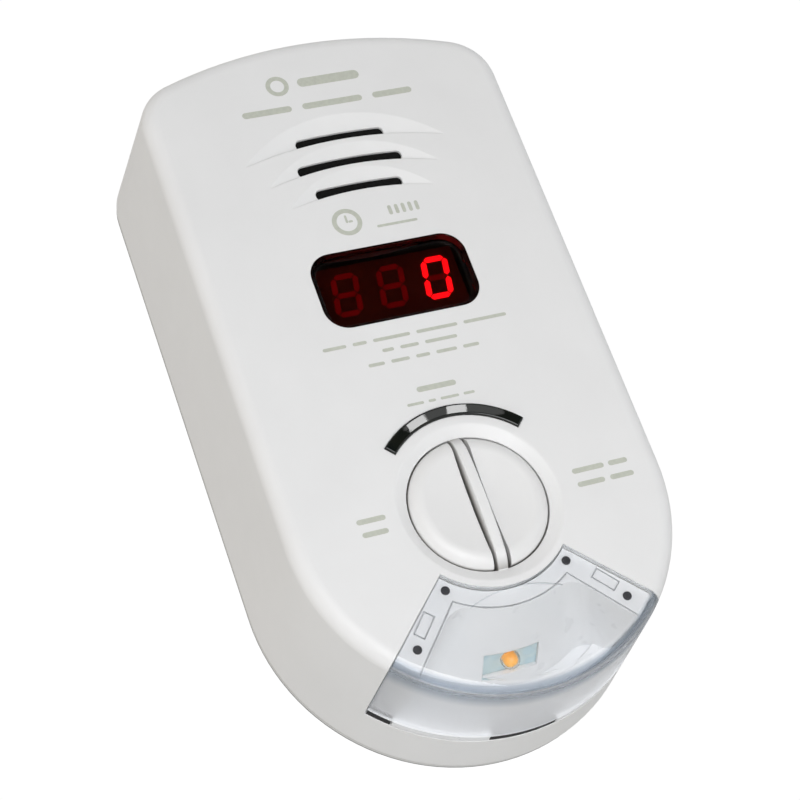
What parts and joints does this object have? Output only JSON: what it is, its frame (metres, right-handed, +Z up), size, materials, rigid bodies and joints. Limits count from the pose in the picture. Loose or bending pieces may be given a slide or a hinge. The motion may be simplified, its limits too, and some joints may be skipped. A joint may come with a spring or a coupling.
{
  "type": "plug-in carbon monoxide alarm",
  "caption": "Plug-in wall alarm for carbon monoxide: tapered round-ended case, red digital display, gilled horn, half-round push buttons and a clear night light below.",
  "frame": {"origin": "on the wall plane, midway between the two plug blades", "axes": "+Z up as plugged in, +Y into the wall, X across; the face looks along -Y"},
  "size_m": [0.0844, 0.0554, 0.1572],
  "materials": {
    "housing_white": "fine satin moulded ABS",
    "rear_white": "moulded ABS, slightly greyer",
    "button_white": "satin moulded ABS",
    "label_paper": "blank matt label",
    "screw_steel": "zinc-plated steel",
    "plug_plastic": "dark grey insulating plastic",
    "blade_brass": "nickel-washed brass",
    "contact_brass": "bright brass strip",
    "module_black": "black display face",
    "segment_dark": "unlit red epoxy",
    "segment_lit": "lit red segments",
    "pin_tin": "tinned wire",
    "window_red": "dark red translucent polycarbonate",
    "arc_smoke": "smoked glossy polycarbonate",
    "led_red": "red epoxy lamp",
    "spacer_white": "nylon",
    "switch_black": "black nylon",
    "plunger_brown": "brown nylon",
    "lens_clear": "clear polycarbonate",
    "reflector_white": "glossy white ABS",
    "rivet_grey": "dark grey nylon",
    "seal_black": "black foam rubber",
    "screen_black": "black woven gauze",
    "board_teal": "pale teal solder mask",
    "led_package": "clear epoxy dome of the lamp",
    "phosphor": "yellow-orange phosphor",
    "board_green": "green solder mask",
    "horn_black": "black ABS",
    "disc_brass": "brass disc",
    "piezo_white": "fired ceramic with a silvered face",
    "spring_steel": "spring wire",
    "cell_steel": "drawn steel can",
    "cell_cap": "white nylon",
    "nickel": "nickel strip",
    "battery_sleeve": "blue shrink sleeve",
    "capacitor_film": "yellow epoxy box",
    "capacitor_can": "dark printed sleeve",
    "varistor_blue": "blue epoxy",
    "ferrite": "ferrite and tape",
    "chip_black": "moulded epoxy"
  },
  "bodies": {
    "case": {"front_housing": "housing_white", "rear_cover": "rear_white", "rating_label": "label_paper", "cover_screws": "screw_steel", "board_screws": "screw_steel", "plug_insert": "plug_plastic", "plug_blades": "blade_brass", "contact_strips": "contact_brass", "display_module": "module_black", "display_pins": "pin_tin", "display_window": "window_red", "alarm_light_lens": "arc_smoke", "alarm_leds": "led_red", "led_spacers": "spacer_white", "switch_bodies": "switch_black", "night_light_lens": "lens_clear", "night_light_reflector": "reflector_white", "reflector_rivets": "rivet_grey", "light_seal": "seal_black", "horn_screen": "screen_black", "night_light_board": "board_teal", "night_light_led": "led_package", "led_phosphor": "phosphor", "main_board": "board_green", "horn_cup": "horn_black", "piezo_disc": "disc_brass", "piezo_ceramic": "piezo_white", "horn_clamp_ring": "horn_black", "horn_contacts": "spring_steel", "co_cell": "cell_steel", "co_cell_cap": "cell_cap", "co_cell_tabs": "nickel", "lithium_battery": "battery_sleeve", "battery_tabs": "nickel", "battery_cradle": "horn_black", "film_capacitor": "capacitor_film", "smoothing_capacitors": "capacitor_can", "surge_varistor": "varistor_blue", "horn_coil": "ferrite", "control_chips": "chip_black", "supply_transformer": "ferrite", "unlit_segments": "segment_dark", "lit_segments": "segment_lit"},
    "test_button": {"test_hush_button": "button_white", "test_switch_plunger": "plunger_brown"},
    "peak_button": {"peak_level_button": "button_white", "peak_switch_plunger": "plunger_brown"}
  },
  "joints": [
    {"name": "test_button_press", "type": "slide", "parent": "case", "child": "test_button", "axis": [0, 1, 0], "range_m": [0, 0.0008], "stiffness_N_per_m": 1200, "springref_m": -0.0008},
    {"name": "peak_button_press", "type": "slide", "parent": "case", "child": "peak_button", "axis": [0, 1, 0], "range_m": [0, 0.0008], "stiffness_N_per_m": 1200, "springref_m": -0.0008}
  ]
}
